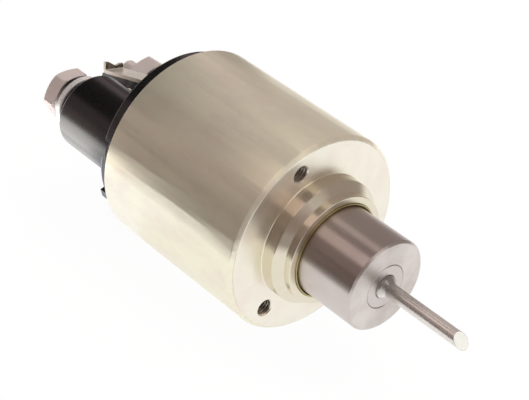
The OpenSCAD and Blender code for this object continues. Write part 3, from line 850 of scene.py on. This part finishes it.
@dataclass
class Terminal:
    """One stud with its square head, washers and nut, on an axis beside the main one. It rides on the housing."""

    name: str
    centre: Pair
    nut_h: float
    nut_turn: float
    past: float
    point_len: float = 0.0
    point_r: float = 2.6
    stud_r: float = 4.0
    stud_chamfer: float = 0.6
    end_r: float = 3.3
    head_front_x: float = -53.65
    head_back_x: float = -56.65
    head_side: float = 12.6
    head_power: int = 8
    head_full: float = 0.95
    seat_x: float = -78.3
    washer_x: float = -79.9
    nut_x: float = -82.2
    washer_r: float = 7.9
    spring_r: float = 7.0
    spring_rise: float = 0.22
    slit: float = 0.8
    nut_af: float = 13.0
    nut_edge: float = 0.1
    nut_cone: float = 0.75
    nut_curve: float = 1.2
    bore_r: float = 4.05
    bore_sink: float = 0.55
    bore_edge: float = 0.08
    pitch: float = 1.25
    groove: float = 0.62
    thread_start: float = 1.5
    thread_rows: int = 150
    stud_sides: int = 96
    ring_sides: int = 120
    nut_sides: int = 216
    cone_rows: int = 12

    def stud(self) -> Patchwork:
        """The stud: a square head |y|^p + |z|^p = (side / 2)^p, a shank, and a thread r - groove(x, a).

        Returns:
            Its grid from the head to the end.
        """
        angle, half = circle(self.stud_sides), self.head_side / 2
        neck, p = self.stud_r / half, self.head_power
        square = 1 / (np.abs(np.cos(angle)) ** p + np.abs(np.sin(angle)) ** p) ** (1 / p)
        rim = soft_profile(
            (0.0, self.head_front_x, 0.0),
            (1.0, self.head_front_x, 0.05),
            (1.0, self.head_back_x, 0.05),
            (neck, self.head_back_x, 0.0),
        )
        share = rim[:, :1]
        corners = 1 + (square - 1) * fade(share, neck, self.head_full)
        head = round_axis(share * half * corners, rim[:, 1:], angle, self.centre)
        end = self.nut_x - self.nut_h - self.past
        along = np.linspace(self.seat_x, end, self.thread_rows)[:, None]
        cut = thread_groove(along, angle, self.pitch, self.groove)
        cut = cut * fade(-along, -self.seat_x, self.thread_start - self.seat_x)
        cone = np.minimum(self.stud_r, self.stud_r - self.stud_chamfer + (along - end))
        shank = round_axis(np.minimum(self.stud_r - cut, cone), along, angle, self.centre)
        if self.point_len:
            tail = soft_profile(
                (self.end_r, end, 0.05),
                (self.point_r, end, 0.3),
                (self.point_r, end - self.point_len, 0.75),
                (0.0, end - self.point_len, 0.0),
            )
        else:
            tail = soft_profile((self.end_r, end, 0.1), (0.0, end, 0.0))
        grid = np.concatenate([head, shank, turned(tail, self.centre, self.stud_sides)])
        return Patchwork(f"{self.name}_stud_body").add(grid)

    def washer(self) -> Patchwork:
        """A punched washer: a turned ring, rounded where the punch went in.

        Returns:
            Its grid.
        """
        ring = soft_profile(
            (self.bore_r, self.seat_x, 0.2),
            (self.washer_r, self.seat_x, 0.45),
            (self.washer_r, self.washer_x, 0.12),
            (self.bore_r, self.washer_x, 0.1),
            loop=True,
        )
        return Patchwork(f"{self.name}_flat_washer").add(turned(ring, self.centre, self.ring_sides))

    def spring_washer(self) -> Patchwork:
        """A split washer: a rounded section carried round the stud and a little along it, x = x0 + rise a / turn.

        Returns:
            Its grid with both cut ends closed.
        """
        start_x = self.washer_x - self.spring_rise
        section = soft_profile(
            (self.bore_r, start_x, 0.15),
            (self.spring_r, start_x, 0.3),
            (self.spring_r, self.nut_x, 0.3),
            (self.bore_r, self.nut_x, 0.15),
            loop=True,
        )[:-1]
        gap = self.slit / self.spring_r / 2
        angle = np.linspace(gap, TURN - gap, self.ring_sides)[:, None] - TURN / 4
        lift = np.linspace(0, self.spring_rise, self.ring_sides)[:, None]
        rings = round_axis(section[:, 0], section[:, 1] + lift, angle, self.centre)
        return Patchwork(f"{self.name}_lock_washer").add_tube(rings)

    def nut(self) -> Patchwork:
        """A hexagon nut: r(a, x) = min(flat / cos(a from the flat), corner limit, cone(x)), with a countersunk bore.

        Returns:
            Its grid round the outside and back through the bore.
        """
        angle, half = circle(self.nut_sides), self.nut_af / 2
        from_flat = (angle - math.radians(self.nut_turn)) % (np.pi / 3) - np.pi / 6
        corner, flat_r = half / math.cos(np.pi / 6), half - self.nut_edge
        hexagon = np.minimum(half / np.cos(from_flat), corner - self.nut_edge)
        front, back = self.nut_x, self.nut_x - self.nut_h
        cone = np.linspace(0, 1, self.cone_rows)[:, None]
        limit = flat_r + (corner - flat_r) * np.concatenate([cone, cone[::-1]])
        drop = self.nut_cone * cone**self.nut_curve
        place = np.concatenate([front - drop, back + drop[::-1]])
        side = round_axis(np.minimum(hexagon, limit), place, angle, self.centre)
        bore = soft_profile(
            (flat_r, back, 0.0),
            (self.bore_r + self.bore_sink, back, self.bore_edge),
            (self.bore_r, back + self.bore_sink, self.bore_edge),
            (self.bore_r, front - self.bore_sink, self.bore_edge),
            (self.bore_r + self.bore_sink, front, self.bore_edge),
            (flat_r, front, 0.0),
        )
        grid = np.concatenate([side, turned(bore, self.centre, self.nut_sides)])
        return Patchwork(f"{self.name}_hex_nut").add(grid)

    def build(self) -> None:
        """Make the stud and all that is screwed on it."""
        plating = plated_steel(f"{self.name}_plating", self.centre).material()
        for sheet, node, material in (
            (self.stud(), "stud", plating),
            (self.washer(), "washer", ZINC.material()),
            (self.spring_washer(), "spring_washer", SPRING_STEEL.material()),
            (self.nut(), "nut", plating),
        ):
            sheet.make(material, "housing", "terminal_steel", [f"{self.name}_{node}"])


@dataclass
class BladeTerminal:
    """The plated strip on the cap's tongue, with its notched lip and its rivet. It rides on the housing."""

    end_x: float = -86.0
    end_z: float = 5.9
    rise: float = 15.0
    inner_x: float = -52.05
    width: float = 6.3
    thick: float = 1.0
    lip_h: float = 2.2
    short_share: float = 0.62
    notch_share: float = 0.10
    notch_h: float = 0.8
    bend_r: float = 0.8
    edge: float = 0.12
    rivet_share: float = 0.62
    rivet_r: float = 1.5
    rivet_sides: int = 64
    head_r: float = 2.7
    head_t: float = 0.9
    shank: float = 3.3
    width_rows: int = 40
    length_rows: int = 24
    bend_rows: int = 8
    lip_rows: int = 7

    def placed(self, grid: np.ndarray) -> np.ndarray:
        """Turn points by the blade's rise about Y and move them to its rear end.

        Args:
            grid: points in the blade's own frame.

        Returns:
            The points in the part's frame.
        """
        c, s = math.cos(math.radians(self.rise)), math.sin(math.radians(self.rise))
        x, y, z = np.moveaxis(grid, -1, 0)
        return spread(self.end_x + x * c - z * s, y, self.end_z + x * s + z * c)

    @property
    def length(self) -> float:
        """Length of the strip along itself."""
        return (self.inner_x - self.end_x) / math.cos(math.radians(self.rise))

    def strip(self) -> None:
        """The strip: points (s, y) on a path that runs back along the blade, turns up round a bend and
        ends at a height h(y) that falls into the notch, thickened by half on each side of the path."""
        half, t, low = self.width / 2, self.thick, self.lip_h * self.short_share
        knots = [-half, t - half, self.width * self.notch_share, half - t, half]
        y = np.unique(np.concatenate([np.linspace(-half, half, self.width_rows), knots]))
        height = np.interp(y, knots, [self.lip_h, self.lip_h, self.notch_h, low, low])
        straight = np.linspace(self.length, t / 2 + self.bend_r, self.length_rows)
        turn = np.linspace(0, np.pi / 2, self.bend_rows + 1)[1:]
        up = np.linspace(0, 1, self.lip_rows + 1)[1:, None]
        x = np.concatenate([straight, t / 2 + self.bend_r * (1 - np.sin(turn)), np.full(len(up), t / 2)])[:, None]
        path_z = np.concatenate([np.full(len(straight), -t / 2), self.bend_r * (1 - np.cos(turn)) - t / 2])
        z = np.concatenate([np.repeat(path_z[:, None], len(y), 1), path_z[-1] + up * (height - path_z[-1])])
        lean = np.concatenate([np.zeros(len(straight)), turn, np.full(len(up), np.pi / 2)])[:, None]
        middle, off = spread(x, y, z), spread(np.sin(lean), 0.0, np.cos(lean)) * t / 2
        top, bottom = self.placed(middle + off), self.placed(middle - off)
        sheet = Patchwork("switch_blade").add(np.concatenate([top, bottom[:, ::-1]], axis=1))
        for row in (0, -1):
            sheet.add(np.stack([top[row], bottom[row]]), closed=False)
        sheet.make(TIN.material(), "housing", "blade_tin", ["blade_terminal"], bevel=self.edge)

    def rivet(self) -> None:
        """The rivet: a domed profile carried round an axis that stands on the blade."""
        outline = soft_profile(
            (0.0, self.head_t, 0.0),
            (self.head_r * 0.5, self.head_t, 0.6),
            (self.head_r, 0.1, 0.4),
            (self.head_r * 0.95, 0.0, 0.02),
            (self.rivet_r, 0.0, 0.0),
            (self.rivet_r, -self.shank, 0.2),
            (0.0, -self.shank, 0.0),
        )
        angle, radius = circle(self.rivet_sides), outline[:, :1]
        at = self.length * self.rivet_share
        grid = spread(at + radius * np.cos(angle), radius * np.sin(angle), outline[:, 1:])
        sheet = Patchwork("blade_rivet_body").add(self.placed(grid))
        sheet.make(plated_steel("rivet_plating").material(), "housing", "terminal_steel", ["blade_rivet"])

    def build(self) -> None:
        """Make the strip and its rivet."""
        self.strip()
        self.rivet()


@dataclass
class CoilSpring:
    """A spring from the place that holds it to the one that moves with a joint."""

    name: str
    node: str
    body: str
    joint: str
    held_x: float
    free_x: float
    mean_r: float
    wire: float
    turns: float
    travel: float
    closed_pitch: float = 1.1
    steps: int = 48
    sides: int = 14

    def build(self) -> None:
        """Carry a circle along x(t), r = mean, a = turn t, with a closed turn at each end of the spring."""
        closed, half, last = self.closed_pitch * self.wire, self.wire / 2, self.turns + 2
        low, high = sorted((self.held_x, self.free_x))
        low, high = low + half, high - half
        t = np.linspace(0, last, int(last * self.steps))[:, None]
        along = np.interp(t, [0, 1, self.turns + 1, last], [low, low + closed, high - closed, high])
        b = circle(self.sides)
        sheet = Patchwork(self.name)
        sheet.add_tube(round_axis(self.mean_r + half * np.cos(b), along + half * np.sin(b), TURN * t))
        made = sheet.make(SPRING_STEEL.material(), self.body, "spring_steel", [self.node])
        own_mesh(made)


@dataclass
class InnerWorks:
    """The solids that are shown as they are, by the finish that they have."""

    finishes: dict[Metal | Moulding | WoundWire, tuple[str, ...]]

    def dress(self) -> None:
        """Give each solid its material."""
        for finish, nodes in self.finishes.items():
            material = finish.material()
            for node in nodes:
                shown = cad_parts[node]
                shown.data.materials.clear()
                shown.data.materials.append(material)
                log.info("%s: %s", node, finish.name)


@dataclass
class Studio:
    """Floor, cards, lamps, world and camera. Lengths in metres."""

    floor_z: float = -0.0275
    floor_size: float = 4.0
    floor_paper: Colour = (0.86, 0.855, 0.84)
    white_share: float = 0.97
    eye: Triple = (0.22470, -0.28036, 0.18146)
    ahead: Triple = (-0.589229, 0.678189, -0.43917)
    right: Triple = (0.655758, 0.71895, 0.230418)
    focal_px: float = 1608.99
    image_px: int = 529
    sensor: float = 36.0
    clip: Pair = (0.01, 20.0)
    lamp_colour: Colour = (1.0, 0.97, 0.95)
    near_room: Colour = (0.24, 0.19, 0.18)
    far_room: Colour = (0.32, 0.27, 0.255)
    horizon: Colour = (0.85, 0.80, 0.78)

    def camera(self) -> None:
        """The photograph's camera: its axes are the columns of its matrix."""
        data = bpy.data.cameras.new("camera")
        data.sensor_width = self.sensor
        data.lens = self.focal_px / self.image_px * self.sensor
        data.clip_start, data.clip_end = self.clip
        made = put("camera", data)
        back, right = -Vector(self.ahead).normalized(), Vector(self.right).normalized()
        axes = Matrix((right, back.cross(right), back)).transposed().to_4x4()
        made.matrix_world = Matrix.Translation(self.eye) @ axes
        bpy.context.scene.camera = made

    def sheet(self, name: str, grid: np.ndarray, glow: Colour, paper: Colour | None = None) -> bpy.types.Object:
        """A stage sheet that polished metal sees glowing.

        Args:
            name: its name.
            grid: its points as rows by columns by three.
            glow: the colour that it glows with.
            paper: where given, what lights the object sees paper of this colour, and only the camera, polished metal
                and glass see most of the glow.

        Returns:
            The sheet.
        """
        material = bpy.data.materials.new(name)
        nodes = Nodes(material)
        nodes.tree.nodes.remove(nodes.tree.nodes["Principled BSDF"])
        shine = nodes.node("Emission", {"Color": (*glow, 1.0)}).outputs[0]
        if paper is not None:
            path = nodes.node("LightPath").outputs
            seen = nodes.maths("MAXIMUM", path["Is Camera Ray"], path["Is Glossy Ray"])
            seen = nodes.maths("MAXIMUM", seen, path["Is Transmission Ray"])
            matt = nodes.node("BsdfDiffuse", {"Color": (*paper, 1.0)}).outputs[0]
            share = nodes.maths("MULTIPLY", seen, self.white_share)
            shine = nodes.node("MixShader", {0: share, 1: matt, 2: shine}).outputs[0]
        nodes.feed(nodes.tree.nodes["Material Output"].inputs["Surface"], shine)
        mesh = Patchwork(name).add(grid, closed=False).mesh(1.0)
        mesh.materials.append(material)
        made = put(name, mesh)
        return made

    def floor(self) -> None:
        """A pale floor that the camera and polished metal see as white; it still takes the object's shadow."""
        span = np.array([-self.floor_size, self.floor_size])
        self.sheet("floor", spread(span, span[:, None], self.floor_z), (1.0, 1.0, 1.0), self.floor_paper)

    def cards(self) -> None:
        """Flags and reflectors beside the object that only polished metal sees.

        The wall's cards stand on the floor along the near side, the flags and the front reflectors lie on cylinders
        round the axis, (x, -r cos a, r sin a) with a from the near side upwards, and the sheets lie on the floor.
        """

        def arc(radius: float, places: Pair, turn: Pair) -> np.ndarray:
            """A grid on a cylinder round the axis, between two places and two angles in degrees."""
            return round_axis(radius, np.array(places)[:, None], np.pi - np.radians(np.linspace(*turn, 24)))

        x = [-0.5, -0.106, -0.095, -0.085, -0.078, -0.070, -0.060, -0.044, -0.028, 0.0, 0.03, 0.06, 0.12]
        y = [-0.082, -0.081, -0.066, -0.063, -0.065, -0.071, -0.077, -0.077, -0.070, -0.067, -0.074, -0.078, -0.078]
        z = np.array([self.floor_z, -0.002, 0.008, 0.018, 0.055])[:, None]
        wall, lying = spread(x, y, z), self.floor_z + 0.001
        rear, front = (-0.25, -0.084), (-0.020, 0.042)
        span = np.array([[-0.126, -0.113], [-0.118, -0.089], [-0.114, -0.079], [-0.114, -0.074]])
        low = spread(span, np.array([[-0.078], [-0.052], [-0.027], [-0.010]]), lying)
        under = spread([-0.079, -0.046], np.array([[-0.060], [-0.004]]), lying)
        upright = spread(0.13, [-0.02, 0.06], np.array([[0.02], [0.10]]))
        for name, grid, glow in (
            ("foot_card", wall[:2, 1:8], (0.045, 0.032, 0.027)),
            ("front_foot_card", wall[:2, 7:], (0.15, 0.115, 0.104)),
            ("dark_card", wall[1:3, 1:], (0.20, 0.152, 0.137)),
            ("streak_card", wall[2:4, 1:8], (0.105, 0.08, 0.066)),
            ("front_streak_card", wall[2:4, 7:], (0.15, 0.115, 0.10)),
            ("upper_card", wall[3:, 1:], (0.24, 0.184, 0.169)),
            ("rear_card", wall[:, :2], (0.36, 0.28, 0.26)),
            ("case_flag", arc(0.07, (-0.084, -0.030), (49.0, 55.0)), (0.15, 0.115, 0.105)),
            ("rear_flag", arc(0.07, rear, (6.0, 34.0)), (0.21, 0.165, 0.16)),
            ("rear_hood", arc(0.07, rear, (34.0, 108.0)), (0.02, 0.02, 0.02)),
            ("far_flag", arc(0.07, rear, (108.0, 134.0)), (0.45, 0.36, 0.36)),
            ("limb_flag", arc(0.07, rear, (134.0, 168.0)), (0.14, 0.11, 0.11)),
            ("near_reflector", arc(0.06, front, (38.0, 61.0)), (0.74, 0.61, 0.56)),
            ("top_reflector", arc(0.06, front, (78.0, 91.0)), (0.62, 0.53, 0.48)),
            ("rear_sheet", low[:3], (3.1, 3.0, 2.85)),
            ("rear_sheet_edge", low[2:], (1.9, 1.85, 1.8)),
            ("barrel_sheet", under, (1.12, 1.13, 1.22)),
            ("tip_reflector", upright, (1.3, 1.28, 1.25)),
        ):
            made = self.sheet(name, grid, glow)
            made.visible_camera = made.visible_diffuse = made.visible_shadow = made.visible_transmission = False

    def lamp(self, name: str, place: Triple, size: float, watts: float) -> None:
        """Hang a soft box that looks at the object; polished metal sees the cards instead of it.

        Args:
            name: its name.
            place: where it hangs.
            size: its side.
            watts: its power.
        """
        data = bpy.data.lights.new(name, "AREA")
        data.shape = "RECTANGLE"
        data.size = data.size_y = size
        data.energy = watts
        data.color = self.lamp_colour
        made = put(name, data)
        made.location = place
        made.rotation_mode = "QUATERNION"
        back = Vector(place).normalized()
        along = (Vector((1.0, 0.0, 0.0)) - back * back.x).normalized()
        made.rotation_quaternion = Matrix((along.cross(back), along, back)).transposed().to_quaternion()
        made.visible_glossy = False

    def world(self) -> None:
        """A dim warm room: darker on the near side, brighter beyond, and pale at the far horizon."""
        room = bpy.data.worlds.new("room")
        bpy.context.scene.world = room
        nodes = Nodes(room)
        across, high = nodes.split(nodes.node("TexCoord").outputs["Generated"])[1:]
        tone = nodes.mix(nodes.remap(across, -0.6, 0.7), self.near_room, self.far_room)
        pale = nodes.maths("MULTIPLY", nodes.remap(high, 0.20, 0.0), nodes.remap(across, 0.2, 0.6))
        nodes.feed(nodes.tree.nodes["Background"].inputs["Color"], nodes.mix(pale, tone, self.horizon))

    def build(self) -> None:
        """Set the stage and the camera."""
        self.camera()
        self.floor()
        self.cards()
        self.world()
        self.lamp("front_soft_box", (0.88, 0.20, 0.63), 0.5, 1.6)
        self.lamp("overhead_sheet", (-0.10, 0.10, 1.00), 1.2, 14.5)
        bpy.context.scene.view_settings.view_transform = "Standard"


def main() -> None:
    """Build and dress each sub-assembly in turn."""
    logging.basicConfig(level=logging.INFO, format="%(name)s: %(message)s")
    stud_y, shaft = 14.5, "contact_shaft_slide"
    for part in (
        Studio(),
        CaseShell(),
        GuideTube(),
        PlungerParts(),
        PullRod(),
        Terminal("motor", (-stud_y, 0.0), 4.8, 11.0, 0.4),
        Terminal("battery", (stud_y, 0.0), 6.0, 32.0, 3.2, 4.3),
        BladeTerminal(),
        CoilSpring("return_coil", "return_spring", "housing", "plunger_slide", -35.0, -12.7, 7.5, 1.4, 6, 10),
        CoilSpring("contact_return_coil", "contact_return_spring", "housing", shaft, -66.95, -52.45, 3.7, 0.7, 6, 4),
        CoilSpring("mesh_coil", "mesh_spring", "plunger", "pull_rod_slide", 19.0, -5.9, 4.55, 1.2, 8, 7),
        CoilSpring("contact_coil", "contact_spring", "contact_shaft", shaft, -42.7, -47.6, 3.7, 0.9, 2, 1),
    ):
        part.build()
    InnerWorks(
        {
            CAP_PLASTIC: ("cap",),
            BOBBIN_PLASTIC: ("bobbin",),
            WIRE: ("pull_in_winding", "hold_in_winding", "switch_lead", "motor_lead"),
            CORE_IRON: ("fixed_core", "core_plate"),
            RUBBER: ("cap_seal",),
            BUSH_STEEL: ("rod_head",),
            ROD_STEEL: ("push_rod",),
            SPRING_STEEL: ("shaft_clip",),
            COPPER: ("contact_bridge",),
            FIBRE: ("bridge_bush", "bridge_washer"),
        }
    ).dress()


if __name__ == "__main__":
    main()
